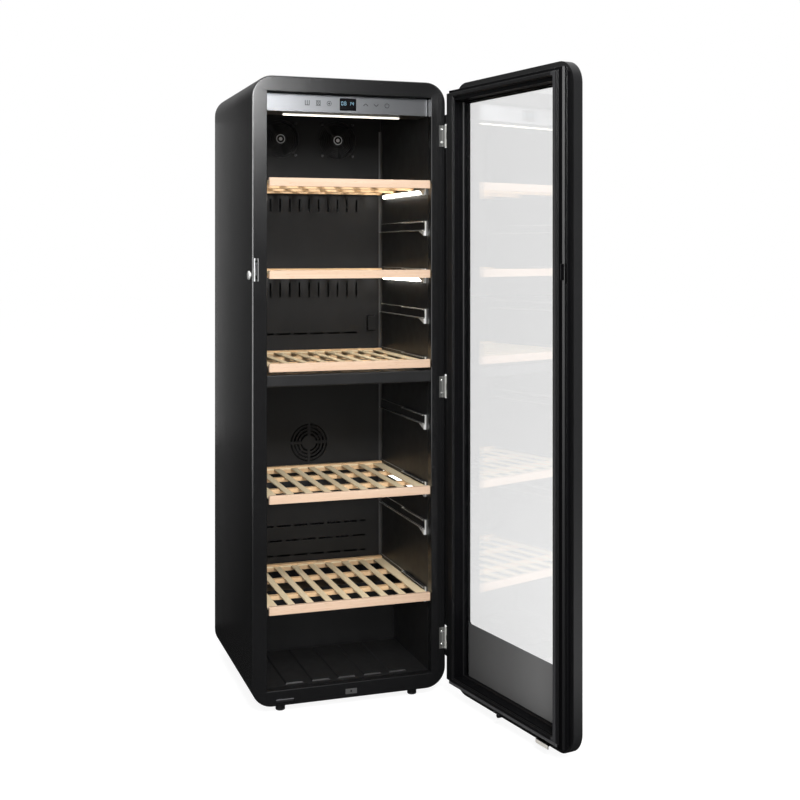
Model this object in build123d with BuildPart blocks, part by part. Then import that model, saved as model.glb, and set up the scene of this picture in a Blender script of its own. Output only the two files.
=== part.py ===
from build123d import *
import os
from math import cos, radians, sin

os.makedirs("parts", exist_ok=True)

# Two-zone wine cooler with a glass door, in millimetres, shown with its door open.
# X runs to the right, Y to the back and Z up. The origin is on the floor, under the
# middle of the cabinet. Depths called y are counted back from the cabinet's front face.

# Cabinet
cabinet_width = 595
cabinet_height = 1826
cabinet_depth = 592
corner_radius = 62
front_band = 45
foot_height = 24
frame_depth = 30
frame_wall = 3
frame_edge_radius = 5
sheet = 1.2
liner_wall = 2.5
seam = 0.4
fit_gap = 0.2

half_width = cabinet_width / 2
front = -cabinet_depth / 2
back = cabinet_depth / 2
base = foot_height
top = base + cabinet_height
middle = base + cabinet_height / 2
opening_width = cabinet_width - 2 * front_band
opening_height = cabinet_height - 2 * front_band
half_opening = opening_width / 2
floor_z = base + front_band
ceiling_z = top - front_band

# Cold compartment and machine compartment
liner_back_y = 545
panel_y = 495
panel_wall = 2.5
hump_y = 357
hump_top = base + 235
machine_front_y = 402
machine_top = base + 190
machine_half_width = 250
rear_recess = 7
divider_bottom = base + 923.5
divider_top = base + 958.5
floor_rib_pitch = 80
floor_rib_width = 54
floor_rib_count = 5
floor_rib_height = 4

# Fans
fan_radius = 58
fan_opening_radius = 61
fan_size = 119
fan_depth = 25
fan_hub_radius = 22
fan_blades = 7
fan_shaft_radius = 2
shaft_gap = 0.05
upper_fan_x = 98
upper_fan_z = base + 1688
lower_fan_z = base + 680

# Shelves: each top height belongs to the rail that carries it
shelf_tops = [base + z for z in (1530.5, 1261.5, 992, 610.5, 290)]
spare_rails = [base + z for z in (1382.4, 1114, 791, 470)]
board_height = 24
shelf_half_width = 247.5
shelf_front_y = -6
front_board_depth = 14
shelf_back_y = 487
rest_height = 24
slat_pitch = 57.4
slat_width = 21
slat_height = 4
slat_drop = 7
slat_count = 7
side_slat_width = 32.5
cross_board = 20
back_board = 18
back_board_drop = 1.5
glue = 0.1

# Wall rails
rail_front_y = 53
rail_back_y = 484
rail_stop_y = 245
rail_height = 29.5
rail_flange = 3
rail_inner_x = 242.5
rail_plate_x = 250

# Door, with its depths counted as on the closed door, so they are negative
open_angle = 100
hinge_x = 300
hinge_y = front - 13.8
door_height = 1828
door_bottom = base - 8
door_middle = door_bottom + door_height / 2
skin_in_y = -37
skin_depth = 32
skin_lip = 6
skin_edge_radius = 6
window_width = opening_width
window_height = door_height - 108
pane_margin = 7
pane = 4
pane_gap = 6
core_y = -24
core_inset = 14
core_inset_z = 32
inner_frame_y = -8
inner_frame_lock_inset = 6
inner_frame_hinge_inset = 13
inner_frame_bottom = base + 19
inner_frame_top = base + 1799
inner_frame_chamfer = 5
inner_frame_groove = 3
glass_lip = 4
glass_lip_chamfer = 3
gasket_y = -0.5
gasket_inset = 23
gasket_bottom = base + 30
gasket_top = base + 1791
gasket_width = 21.5
gasket_width_z = 14
gasket_flap_x = 293.4
gasket_flap = 2.8

# Hinges and lock
hinge_levels = [base + z for z in (148.5, 907.5, 1665.5)]
hinge_height = 64
leaf = 2.2
knuckle_radius = 4.5
pin_radius = 2.5
knuckle_gap = 0.4
lock_x = -284.5
lock_z = base + 1248
lock_y = 16
lock_spindle_radius = 4
lock_plate_z = base + 1263.5
lock_plate_width = 14
lock_plate_height = 67
lock_body_width = 11
lock_body_height = 63
lock_body_depth = 28
hook_thickness = 6
hook_length = 37


def front_plane(y):
    """Plane facing the user, y behind the front face. Local x is X and local y is Z."""
    return Plane(origin=(0, front + y, 0), x_dir=(1, 0, 0), z_dir=(0, -1, 0))


swing_x = (cos(radians(open_angle)), sin(radians(open_angle)), 0)
swing_out = (sin(radians(open_angle)), -cos(radians(open_angle)), 0)


def door_level(z):
    """Level plane on the open door, with its origin on the hinge axis."""
    return Plane(origin=(hinge_x, hinge_y, z), x_dir=swing_x, z_dir=(0, 0, 1))


def door_plane(y):
    """The front_plane of the open door, with the closed door's X and Z."""
    origin = door_level(0).from_local_coords((-hinge_x, front + y - hinge_y, 0))
    return Plane(origin=origin, x_dir=swing_x, z_dir=swing_out)


def door_point(x, y):
    """Place on a door_level plane of the closed door's X and depth."""
    return (x - hinge_x, front + y - hinge_y)


def write(builder, name):
    """Labels a finished piece and writes it to its own file."""
    builder.part.label = name
    export_step(builder.part, f"parts/{name}.step")


# Front frame: a channel round the mouth of the cabinet, open at the back
with BuildPart() as front_frame:
    with BuildSketch(front_plane(0)):
        with Locations((0, middle)):
            RectangleRounded(cabinet_width, cabinet_height, corner_radius)
            Rectangle(opening_width, opening_height, mode=Mode.SUBTRACT)
    extrude(amount=-frame_depth)
    with BuildSketch(front_plane(frame_wall)):
        with Locations((0, middle)):
            RectangleRounded(
                cabinet_width - 2 * frame_wall, cabinet_height - 2 * frame_wall, corner_radius - frame_wall
            )
            Rectangle(opening_width + 2 * frame_wall, opening_height + 2 * frame_wall, mode=Mode.SUBTRACT)
    extrude(amount=frame_wall - frame_depth, mode=Mode.SUBTRACT)
    front_face = front_frame.faces().sort_by(Axis.Y)[0]
    fillet(front_face.outer_wire().edges(), radius=frame_edge_radius)
    front_face = front_frame.faces().sort_by(Axis.Y)[0]
    chamfer(front_face.inner_wires()[0].edges(), length=1.5)
    with BuildSketch(front_plane(0)):
        with Locations((lock_x, lock_plate_z)):
            Rectangle(lock_body_width + 2 * fit_gap, lock_body_height + 2 * fit_gap)
    extrude(amount=-frame_wall, mode=Mode.SUBTRACT)
    with BuildSketch(Plane.YZ.offset(-half_width)):
        with Locations((front + lock_y, lock_z)):
            Circle(lock_spindle_radius + 1)
    extrude(amount=frame_wall, mode=Mode.SUBTRACT)
write(front_frame, "front_frame")

# Outer shell: one wrapped sheet with rounded corners
with BuildPart() as outer_shell:
    with BuildSketch(front_plane(frame_depth + seam)):
        with Locations((0, middle)):
            RectangleRounded(cabinet_width, cabinet_height, corner_radius)
            RectangleRounded(
                cabinet_width - 2 * sheet,
                cabinet_height - 2 * sheet,
                corner_radius - sheet,
                mode=Mode.SUBTRACT,
            )
    extrude(amount=frame_depth + seam - cabinet_depth)
write(outer_shell, "outer_shell")


def cavity_outline(grow):
    """Side view of the cold compartment, grown outwards everywhere but at its mouth."""
    return [
        (front + frame_depth + seam, floor_z - grow),
        (front + hump_y + grow, floor_z - grow),
        (front + hump_y + grow, hump_top - grow),
        (front + liner_back_y + grow, hump_top - grow),
        (front + liner_back_y + grow, ceiling_z + grow),
        (front + frame_depth + seam, ceiling_z + grow),
    ]


# Insulation between the shell and the liner, hollow for the two compartments
rear_face_y = cabinet_depth - rear_recess - sheet
with BuildPart() as insulation_foam:
    with BuildSketch(front_plane(frame_depth + seam)):
        with Locations((0, middle)):
            RectangleRounded(
                cabinet_width - 2 * sheet - 2 * fit_gap,
                cabinet_height - 2 * sheet - 2 * fit_gap,
                corner_radius - sheet - fit_gap,
            )
    extrude(amount=frame_depth + seam - rear_face_y + fit_gap)
    with BuildSketch(Plane.YZ):
        with BuildLine():
            Polyline(*cavity_outline(liner_wall + fit_gap), close=True)
        make_face()
    extrude(amount=half_opening + liner_wall + fit_gap, both=True, mode=Mode.SUBTRACT)
    with BuildSketch(front_plane(machine_front_y)):
        with Locations((0, base + (machine_top - base) / 2)):
            Rectangle(2 * machine_half_width, machine_top - base)
    extrude(amount=machine_front_y - cabinet_depth, mode=Mode.SUBTRACT)
write(insulation_foam, "insulation_foam")

# Inner liner with the step over the machine compartment and the ribbed floor
with BuildPart() as inner_liner:
    with BuildSketch(Plane.YZ):
        with BuildLine():
            Polyline(*cavity_outline(liner_wall), close=True)
        make_face()
    extrude(amount=half_opening + liner_wall, both=True)
    with BuildSketch(Plane.YZ):
        with BuildLine():
            Polyline(*cavity_outline(0), close=True)
        make_face()
    extrude(amount=half_opening, both=True, mode=Mode.SUBTRACT)
    rib_length = hump_y - frame_depth - 30
    with BuildSketch(Plane.XY.offset(floor_z)):
        with Locations((0, front + frame_depth + 15 + rib_length / 2)):
            with GridLocations(floor_rib_pitch, 0, floor_rib_count, 1):
                Rectangle(floor_rib_width, rib_length)
    extrude(amount=floor_rib_height, taper=35)
write(inner_liner, "inner_liner")

# Rear panel with its machine opening, and the slotted cover over that opening
machine_window_width = 470
machine_window_height = 176
machine_window_z = base + 12 + machine_window_height / 2
with BuildPart() as rear_panel:
    with BuildSketch(front_plane(rear_face_y)):
        with Locations((0, middle)):
            RectangleRounded(
                cabinet_width - 2 * sheet - 2 * fit_gap,
                cabinet_height - 2 * sheet - 2 * fit_gap,
                corner_radius - sheet - fit_gap,
            )
        with Locations((0, machine_window_z)):
            Rectangle(machine_window_width, machine_window_height, mode=Mode.SUBTRACT)
    extrude(amount=-sheet)
    with BuildSketch(front_plane(rear_face_y + sheet)):
        with Locations((0, middle + 120)):
            with GridLocations(150, 0, 3, 1):
                Rectangle(40, 1300)
    extrude(amount=-3, taper=40)
write(rear_panel, "rear_panel")

gland_x = -180
gland_z = base + 48
gland_radius = 9
with BuildPart() as rear_cover:
    with BuildSketch(front_plane(rear_face_y + sheet)):
        with Locations((0, machine_window_z)):
            Rectangle(machine_window_width + 24, machine_window_height + 16)
            with Locations((0, 18)):
                with GridLocations(48, 22, 9, 5):
                    Rectangle(36, 7, mode=Mode.SUBTRACT)
        with Locations((gland_x, gland_z)):
            Circle(gland_radius, mode=Mode.SUBTRACT)
    extrude(amount=-1.5)
write(rear_cover, "rear_cover")

with BuildPart() as cord_gland:
    with BuildSketch(front_plane(rear_face_y + sheet - 3)):
        with Locations((gland_x, gland_z)):
            Circle(gland_radius - fit_gap)
            Circle(4, mode=Mode.SUBTRACT)
    extrude(amount=-8.5)
    with BuildSketch(front_plane(rear_face_y + sheet + 1.5)):
        with Locations((gland_x, gland_z)):
            Circle(gland_radius + 4)
            Circle(4, mode=Mode.SUBTRACT)
    extrude(amount=-3.5)
write(cord_gland, "cord_gland")

# Machine compartment: base plate, compressor on rubber mounts, drip tray and condenser
machine_mid_y = (machine_front_y + rear_face_y) / 2
plate_depth = rear_face_y - machine_front_y - 6
compressor_x = 95
compressor_radius = 72
grommet_height = 12
plate_top = base + sheet + 2
with BuildPart() as base_plate:
    with BuildSketch(Plane.XY.offset(base + sheet)):
        with Locations((0, front + machine_mid_y)):
            Rectangle(2 * machine_half_width - 36, plate_depth)
    extrude(amount=plate_top - base - sheet)
write(base_plate, "base_plate")

with BuildPart() as compressor_mounts:
    with BuildSketch(Plane.XY.offset(plate_top)):
        with Locations((compressor_x, front + machine_mid_y)):
            with GridLocations(150, 90, 2, 2):
                Circle(11)
    extrude(amount=grommet_height)
write(compressor_mounts, "compressor_mounts")

shell_bottom = plate_top + grommet_height
with BuildPart() as compressor:
    with BuildSketch(Plane.XY.offset(shell_bottom)):
        with Locations((compressor_x, front + machine_mid_y)):
            RectangleRounded(176, 116, 14)
    extrude(amount=2.5)
    with BuildSketch(Plane.XY.offset(shell_bottom + 2.5)):
        with Locations((compressor_x, front + machine_mid_y)):
            Circle(compressor_radius)
    extrude(amount=112)
    chamfer(compressor.faces().sort_by(Axis.Z)[-1].edges(), length=22)
    with BuildSketch(Plane.YZ.offset(compressor_x - compressor_radius - 26)):
        with Locations((front + machine_mid_y, shell_bottom + 56)):
            Rectangle(54, 62)
    extrude(amount=40)
write(compressor, "compressor")

tray_bottom = shell_bottom + 2.5 + 112 + fit_gap
with BuildPart() as drip_tray:
    with BuildSketch(Plane.XY.offset(tray_bottom)):
        with Locations((compressor_x, front + machine_mid_y)):
            RectangleRounded(170, 120, 12)
    extrude(amount=34)
    offset(amount=-2, openings=drip_tray.faces().sort_by(Axis.Z)[-1])
write(drip_tray, "drip_tray")

condenser_x = -130
with BuildPart() as condenser:
    with BuildSketch(Plane.XY.offset(plate_top)):
        with Locations((condenser_x, front + machine_mid_y)):
            Rectangle(150, 12)
            with GridLocations(12.5, 0, 13, 1):
                Rectangle(2, 110)
    extrude(amount=130)
write(condenser, "condenser")

# Air panels on the back wall, with the fan openings and their rows of slots
panel_width = opening_width - 2
slot_pitch = 32.8
dash_pitch = 57.4
dash_length = 46
dash_height = 6
with BuildPart() as upper_air_panel:
    panel_bottom = divider_top + 1
    panel_top = ceiling_z - 1
    with BuildSketch(front_plane(panel_y)):
        with Locations((0, (panel_bottom + panel_top) / 2)):
            Rectangle(panel_width, panel_top - panel_bottom)
        with Locations((-upper_fan_x, upper_fan_z), (upper_fan_x, upper_fan_z)):
            Circle(fan_opening_radius, mode=Mode.SUBTRACT)
        with Locations((0, base + 1469.5)):
            with GridLocations(slot_pitch, 0, 11, 1):
                Rectangle(6, 43, mode=Mode.SUBTRACT)
        with Locations((0, base + 1189)):
            with GridLocations(slot_pitch, 0, 11, 1):
                Rectangle(6, 48, mode=Mode.SUBTRACT)
        with Locations((0, base + 1043)):
            with GridLocations(dash_pitch, 0, 6, 1):
                Rectangle(dash_length, dash_height, mode=Mode.SUBTRACT)
    extrude(amount=-panel_wall)
write(upper_air_panel, "upper_air_panel")

with BuildPart() as lower_air_panel:
    panel_bottom = hump_top + 1
    panel_top = divider_bottom - 1
    with BuildSketch(front_plane(panel_y)):
        with Locations((0, (panel_bottom + panel_top) / 2)):
            Rectangle(panel_width, panel_top - panel_bottom)
        for row_z, count in ((408, 6), (359.5, 7), (310, 6)):
            with Locations((0, base + row_z)):
                with GridLocations(dash_pitch, 0, count, 1):
                    Rectangle(dash_length, dash_height, mode=Mode.SUBTRACT)
        for row_z in (408, 310):
            with Locations((0, base + row_z)):
                with GridLocations(dash_pitch * 7 - 28, 0, 2, 1):
                    Rectangle(18, dash_height, mode=Mode.SUBTRACT)
    extrude(amount=-panel_wall)
    # Concentric slots over the lower fan, bridged by four spokes
    with BuildSketch(front_plane(panel_y)):
        with Locations((0, lower_fan_z)):
            for ring in (63, 52, 41, 30):
                Circle(ring)
                Circle(ring - 6, mode=Mode.SUBTRACT)
            Rectangle(8, 150, mode=Mode.SUBTRACT)
            Rectangle(150, 8, mode=Mode.SUBTRACT)
    extrude(amount=-panel_wall, mode=Mode.SUBTRACT)
write(lower_air_panel, "lower_air_panel")

# Corner trims: coved strips where the air panels meet the side walls
trim_radius = 9
trims = ((divider_top + 2, ceiling_z - 60), (hump_top + 2, divider_bottom - 2))
with BuildPart() as corner_trims:
    for trim_bottom, trim_top in trims:
        for side in (-1, 1):
            corner_x = side * (half_opening - fit_gap)
            with BuildSketch(Plane.XY.offset(trim_bottom)):
                with Locations((corner_x - side * trim_radius / 2, front + panel_y - fit_gap - trim_radius / 2)):
                    Rectangle(trim_radius, trim_radius)
                with Locations((corner_x - side * trim_radius, front + panel_y - fit_gap - trim_radius)):
                    Circle(trim_radius - 0.8, mode=Mode.SUBTRACT)
            extrude(amount=trim_top - trim_bottom)
write(corner_trims, "corner_trims")

# Evaporators: finned blocks in the air duct behind the panels
with BuildPart() as evaporators:
    for evaporator_z in (base + 1270, base + 340):
        with BuildSketch(Plane.XY.offset(evaporator_z)):
            with Locations((0, front + panel_y + 30)):
                Rectangle(320, 6)
                with GridLocations(16, 0, 20, 1):
                    Rectangle(1.5, 34)
        extrude(amount=190)
write(evaporators, "evaporators")

# Fan housings with their motors, held by four struts at the back of each bore
fan_places = [(-upper_fan_x, upper_fan_z), (upper_fan_x, upper_fan_z), (0, lower_fan_z)]
fan_y = panel_y + panel_wall + 0.3
motor_y = fan_y + fan_depth - 5
rotor_y = fan_y + 3
rotor_depth = 15
with BuildPart() as fan_housings:
    for fan_x, fan_z in fan_places:
        with BuildSketch(front_plane(fan_y)):
            with Locations((fan_x, fan_z)):
                RectangleRounded(fan_size, fan_size, 6)
                Circle(fan_radius, mode=Mode.SUBTRACT)
        extrude(amount=-fan_depth)
        with BuildSketch(front_plane(motor_y)):
            with Locations((fan_x, fan_z)):
                Circle(fan_hub_radius)
                Rectangle(2 * fan_radius + 2, 5, rotation=45)
                Rectangle(2 * fan_radius + 2, 5, rotation=-45)
        extrude(amount=-5)
        with BuildSketch(front_plane(rotor_y + 3)):
            with Locations((fan_x, fan_z)):
                Circle(fan_shaft_radius)
        extrude(amount=rotor_y + 3 - motor_y)
write(fan_housings, "fan_housings")


def blade_section(centre, turn, radius, pitch):
    """Plane across a blade at a radius from the fan's axis, tilted by its pitch."""
    outward = Vector(cos(radians(turn)), 0, sin(radians(turn)))
    forward = Vector(0, -1, 0)
    around = forward.cross(outward)
    across = around * cos(radians(pitch)) + forward * sin(radians(pitch))
    return Plane(origin=centre + outward * radius, x_dir=across, z_dir=outward)


# Fan rotors: a hub with twisted blades, running on the motor shaft
rotor_names = ["upper_left_fan_rotor", "upper_right_fan_rotor", "lower_fan_rotor"]
for rotor_name, (fan_x, fan_z) in zip(rotor_names, fan_places):
    with BuildPart() as fan_rotor:
        with BuildSketch(front_plane(rotor_y)):
            with Locations((fan_x, fan_z)):
                Circle(fan_hub_radius - 1)
        extrude(amount=-rotor_depth)
        hub_centre = Vector(fan_x, front + rotor_y + rotor_depth / 2, fan_z)
        for blade in range(fan_blades):
            turn = blade * 360 / fan_blades
            with BuildSketch(blade_section(hub_centre, turn, fan_hub_radius - 3, 34)):
                Rectangle(21, 1.8)
            with BuildSketch(blade_section(hub_centre, turn, fan_radius - 5, 20)):
                Rectangle(36, 1.4)
            loft()
        with BuildSketch(front_plane(rotor_y + 2)):
            with Locations((fan_x, fan_z)):
                Circle(fan_shaft_radius + shaft_gap)
        extrude(amount=-rotor_depth, mode=Mode.SUBTRACT)
    write(fan_rotor, rotor_name)

# Wire guards over the two upper fans, on four lugs each at the fans' screws
guard_wire = 2
guard_y = panel_y - 6.5
guard_rings = range(64, 20, -6)
lug_circle = 74.2
with BuildPart() as upper_fan_guards:
    for guard_x in (-upper_fan_x, upper_fan_x):
        with BuildSketch(front_plane(guard_y)):
            with Locations((guard_x, upper_fan_z)):
                for ring in guard_rings:
                    Circle(ring)
                    Circle(ring - guard_wire, mode=Mode.SUBTRACT)
                Circle(18)
                Rectangle(2 * lug_circle, guard_wire + 1, rotation=45)
                Rectangle(2 * lug_circle, guard_wire + 1, rotation=-45)
        extrude(amount=-2)
        with BuildSketch(front_plane(guard_y)):
            with Locations((guard_x, upper_fan_z)):
                with PolarLocations(lug_circle, 4, start_angle=45):
                    Circle(4.5)
        extrude(amount=guard_y - panel_y + fit_gap)
write(upper_fan_guards, "upper_fan_guards")

# Temperature sensor cover on the back wall
with BuildPart() as sensor_cover:
    with BuildSketch(front_plane(panel_y - fit_gap)):
        with Locations((215, base + 1075)):
            RectangleRounded(30, 50, 4)
    extrude(amount=14, taper=8)
write(sensor_cover, "sensor_cover")

# Control housing under the ceiling, its aluminium fascia, display and lamp
control_bottom = base + 1727
control_height = ceiling_z - 1 - control_bottom
control_mid = control_bottom + control_height / 2
fascia_y = 33
fascia_depth = 4
display_width = 51
display_height = 37
with BuildPart() as control_housing:
    with BuildSketch(front_plane(fascia_y + fascia_depth + fit_gap)):
        with Locations((0, control_mid)):
            Rectangle(panel_width, control_height)
    extrude(amount=-118)
    chamfer(control_housing.edges().group_by(Axis.Y)[-1].group_by(Axis.Z)[0], length=24)
write(control_housing, "control_housing")

with BuildPart() as control_fascia:
    with BuildSketch(front_plane(fascia_y)):
        with Locations((0, control_mid)):
            Rectangle(panel_width, control_height)
            Rectangle(display_width, display_height, mode=Mode.SUBTRACT)
    extrude(amount=-fascia_depth)
    chamfer(control_fascia.faces().sort_by(Axis.Y)[0].outer_wire().edges(), length=0.8)
write(control_fascia, "control_fascia")

with BuildPart() as display_window:
    with BuildSketch(front_plane(fascia_y + 0.6)):
        with Locations((0, control_mid)):
            Rectangle(display_width - 2 * fit_gap, display_height - 2 * fit_gap)
    extrude(amount=0.6 - fascia_depth + fit_gap)
write(display_window, "display_window")

with BuildPart() as ceiling_lamp:
    with BuildSketch(Plane.XY.offset(control_bottom - fit_gap)):
        with Locations((0, front + 100)):
            RectangleRounded(366, 9, 3)
    extrude(amount=-4, taper=12)
write(ceiling_lamp, "ceiling_lamp")

# Insulated divider between the two zones
with BuildPart() as zone_divider:
    with BuildSketch(front_plane(3)):
        with Locations((0, (divider_bottom + divider_top) / 2)):
            Rectangle(panel_width, divider_top - divider_bottom)
    extrude(amount=3 - panel_y + fit_gap)
    fillet(zone_divider.faces().sort_by(Axis.Y)[0].edges().filter_by(Axis.X), radius=4)
write(zone_divider, "zone_divider")

# Wall rails: a channel for each shelf place, with an upper guide along its front half
rail_levels = [z - rest_height for z in shelf_tops] + spare_rails
with BuildPart() as wall_rails:
    for level in rail_levels:
        for side in (-1, 1):
            flange_width = rail_plate_x - rail_inner_x
            flange_x = side * (rail_inner_x + flange_width / 2)
            plate_width = half_opening - fit_gap - rail_plate_x
            plate_x = side * (rail_plate_x + plate_width / 2)
            with BuildSketch(front_plane(rail_front_y)):
                with Locations((plate_x, level - rail_flange + rail_height / 2)):
                    Rectangle(plate_width, rail_height)
                with Locations((flange_x, level - rail_flange / 2)):
                    Rectangle(flange_width, rail_flange)
            extrude(amount=rail_front_y - rail_back_y)
            with BuildSketch(front_plane(rail_front_y)):
                with Locations((flange_x, level + rail_height - 1.5 * rail_flange)):
                    Rectangle(flange_width, rail_flange)
            extrude(amount=rail_front_y - rail_stop_y)
write(wall_rails, "wall_rails")

# Zinc end brackets in front of the rails, each with a toe, and the stops at the guides' ends
toe_drop = 15
toe_length = 48
bracket_y = 46
with BuildPart() as rail_brackets:
    for level in rail_levels:
        rail_bottom = level - rail_flange
        for side in (-1, 1):
            end_x = side * (half_opening - fit_gap)
            with BuildSketch(Plane.YZ.offset(end_x)):
                with Locations((front + (bracket_y + rail_front_y) / 2, rail_bottom + rail_height / 2)):
                    Rectangle(rail_front_y - bracket_y - fit_gap, rail_height)
            extrude(amount=-side * 3.2)
            if rail_bottom - toe_drop > divider_top or rail_bottom < divider_bottom:
                with BuildSketch(Plane.YZ.offset(end_x)):
                    with BuildLine():
                        Polyline(
                            (front + bracket_y, rail_bottom - fit_gap),
                            (front + bracket_y, rail_bottom - toe_drop),
                            (front + bracket_y + toe_length, rail_bottom - fit_gap),
                            close=True,
                        )
                    make_face()
                extrude(amount=-side * 8)
            stop_x = side * (rail_inner_x + 3.5)
            with BuildSketch(front_plane(rail_stop_y + fit_gap)):
                with Locations((stop_x, level + rail_height - 1.5 * rail_flange)):
                    Rectangle(7, rail_flange)
            extrude(amount=-6)
write(rail_brackets, "rail_brackets")

# Light bars on the right wall under the first, second and fourth shelves
with BuildPart() as side_lamps:
    for shelf in (0, 1, 3):
        lamp_top = shelf_tops[shelf] - rest_height - rail_flange - 0.5
        with BuildSketch(front_plane(bracket_y + toe_length + 2)):
            with Locations((half_opening - fit_gap - 4.5, lamp_top - 5)):
                RectangleRounded(9, 10, 2)
        extrude(amount=-350)
write(side_lamps, "side_lamps")

# Hinges: a leaf on the front face, a leaf on the door and a pin through their knuckles
knuckle_half = 10
with BuildPart() as hinge_cabinet_leaves:
    for level in hinge_levels:
        with BuildSketch(front_plane(0)):
            with Locations(((277 + hinge_x + knuckle_radius) / 2, level)):
                Rectangle(hinge_x + knuckle_radius - 277, hinge_height)
        extrude(amount=leaf)
        for low in (level - hinge_height / 2, level + knuckle_half + knuckle_gap):
            with BuildSketch(Plane.XY.offset(low)):
                with Locations((hinge_x, hinge_y)):
                    Circle(knuckle_radius)
                with Locations((hinge_x + knuckle_radius - leaf / 2, (hinge_y + front - leaf / 2) / 2)):
                    Rectangle(leaf, front - leaf / 2 - hinge_y)
                with Locations((hinge_x, hinge_y)):
                    Circle(pin_radius + shaft_gap, mode=Mode.SUBTRACT)
            extrude(amount=hinge_height / 2 - knuckle_half - knuckle_gap)
write(hinge_cabinet_leaves, "hinge_cabinet_leaves")

with BuildPart() as hinge_pins:
    for level in hinge_levels:
        with BuildSketch(Plane.XY.offset(level - hinge_height / 2)):
            with Locations((hinge_x, hinge_y)):
                Circle(pin_radius)
        extrude(amount=hinge_height)
        with BuildSketch(Plane.XY.offset(level + hinge_height / 2)):
            with Locations((hinge_x, hinge_y)):
                Circle(knuckle_radius)
        extrude(amount=2)
write(hinge_pins, "hinge_pins")

# Strip on the right edge of the frame that closes the gap beside the open door, broken at the hinges
strip_ends = [base + 94] + [z + d for z in hinge_levels for d in (-hinge_height / 2 - 3, hinge_height / 2 + 5)]
strip_ends.append(base + 1730)
with BuildPart() as hinge_strips:
    for strip_bottom, strip_top in zip(strip_ends[::2], strip_ends[1::2]):
        with BuildSketch(Plane.XY.offset(strip_bottom)):
            with BuildLine():
                Polyline(
                    (half_width + fit_gap, front + 14),
                    (half_width + fit_gap, front - 8),
                    (half_width + 4.5, front - 8),
                    (half_width + 5.5, front - 5),
                    (half_width + 4.5, front + 14),
                    close=True,
                )
            make_face()
        extrude(amount=strip_top - strip_bottom)
write(hinge_strips, "hinge_strips")

# Side lock: a case with its faceplate, and a hook on the knob's spindle
with BuildPart() as lock_case:
    with BuildSketch(front_plane(-1.5)):
        with Locations((lock_x, lock_plate_z)):
            RectangleRounded(lock_plate_width, lock_plate_height, 2)
    extrude(amount=-1.5)
    with BuildSketch(front_plane(0)):
        with Locations((lock_x, lock_plate_z)):
            Rectangle(lock_body_width, lock_body_height)
    extrude(amount=-lock_body_depth)
    with BuildSketch(front_plane(-1.5)):
        with Locations((lock_x, lock_plate_z)):
            Rectangle(lock_body_width - 3.4, lock_body_height - 7)
    extrude(amount=-lock_body_depth, mode=Mode.SUBTRACT)
    with BuildSketch(Plane.YZ.offset(lock_x)):
        with Locations((front + lock_y, lock_z)):
            Circle(lock_spindle_radius + shaft_gap)
    extrude(amount=lock_body_width, both=True, mode=Mode.SUBTRACT)
write(lock_case, "lock_case")

knob_face_x = -half_width - 8.5
with BuildPart() as lock_knob:
    with BuildSketch(Plane.YZ.offset(knob_face_x)):
        with Locations((front + lock_y, lock_z)):
            Circle(13)
    extrude(amount=5)
    fillet(lock_knob.edges().group_by(Axis.X)[0], radius=3)
    with BuildSketch(Plane.YZ.offset(knob_face_x + 5)):
        with Locations((front + lock_y, lock_z)):
            Circle(8)
    extrude(amount=3.2)
    with BuildSketch(Plane.YZ.offset(knob_face_x + 5)):
        with Locations((front + lock_y, lock_z)):
            Circle(lock_spindle_radius)
    extrude(amount=lock_x + lock_body_width / 2 + 0.5 - knob_face_x - 5)
write(lock_knob, "lock_knob")

with BuildPart() as lock_hook:
    with BuildSketch(Plane.YZ.offset(lock_x)):
        with Locations((front + lock_y, lock_z)):
            Circle(8)
            with Locations((0, hook_length / 2)):
                Rectangle(10, hook_length)
            with Locations((-9.5, hook_length - 4)):
                Rectangle(9, 8)
            Circle(lock_spindle_radius + 0.02, mode=Mode.SUBTRACT)
    extrude(amount=hook_thickness / 2, both=True)
write(lock_hook, "lock_hook")

# Catch plate and rest ramp on the bottom of the front frame
with BuildPart() as catch_plate:
    with BuildSketch(front_plane(0)):
        with Locations((0, base + 20)):
            RectangleRounded(35, 15, 1.5)
            Circle(3, mode=Mode.SUBTRACT)
    extrude(amount=1.5)
write(catch_plate, "catch_plate")

rest_x = -200
with BuildPart() as rest_ramp:
    with BuildSketch(Plane.YZ.offset(rest_x - 26)):
        with BuildLine():
            Polyline((front, base + 8), (front, base + 20), (front - 2, base + 18), (front - 2, base + 12), close=True)
        make_face()
    extrude(amount=52)
write(rest_ramp, "rest_ramp")

# Levelling feet
foot_places = [(x, y) for x in (-204, 204) for y in (front + 42, back - 50)]
with BuildPart() as feet:
    for foot_x, foot_y in foot_places:
        with BuildSketch(Plane.XY):
            with Locations((foot_x, foot_y)):
                Circle(14)
        extrude(amount=15)
        with BuildSketch(Plane.XY.offset(15)):
            with Locations((foot_x, foot_y)):
                RegularPolygon(10, 6)
        extrude(amount=foot_height - 15)
    chamfer(feet.edges().group_by(Axis.Z)[0], length=1.5)
write(feet, "feet")

# Door skin: the rounded outer frame, with a rebate behind its lip for the glass
with BuildPart() as door_skin:
    with BuildSketch(door_plane(skin_in_y)):
        with Locations((0, door_middle)):
            RectangleRounded(cabinet_width, door_height, corner_radius)
            Rectangle(window_width, window_height, mode=Mode.SUBTRACT)
    extrude(amount=skin_depth)
    outer_face = door_skin.faces().sort_by(Axis((0, 0, 0), swing_out))[-1]
    fillet(outer_face.outer_wire().edges(), radius=skin_edge_radius)
    with BuildSketch(door_plane(skin_in_y)):
        with Locations((0, door_middle)):
            Rectangle(window_width + 2 * pane_margin + 0.6, window_height + 2 * pane_margin + 0.6)
    extrude(amount=skin_depth - skin_lip, mode=Mode.SUBTRACT)
write(door_skin, "door_skin")

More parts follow.
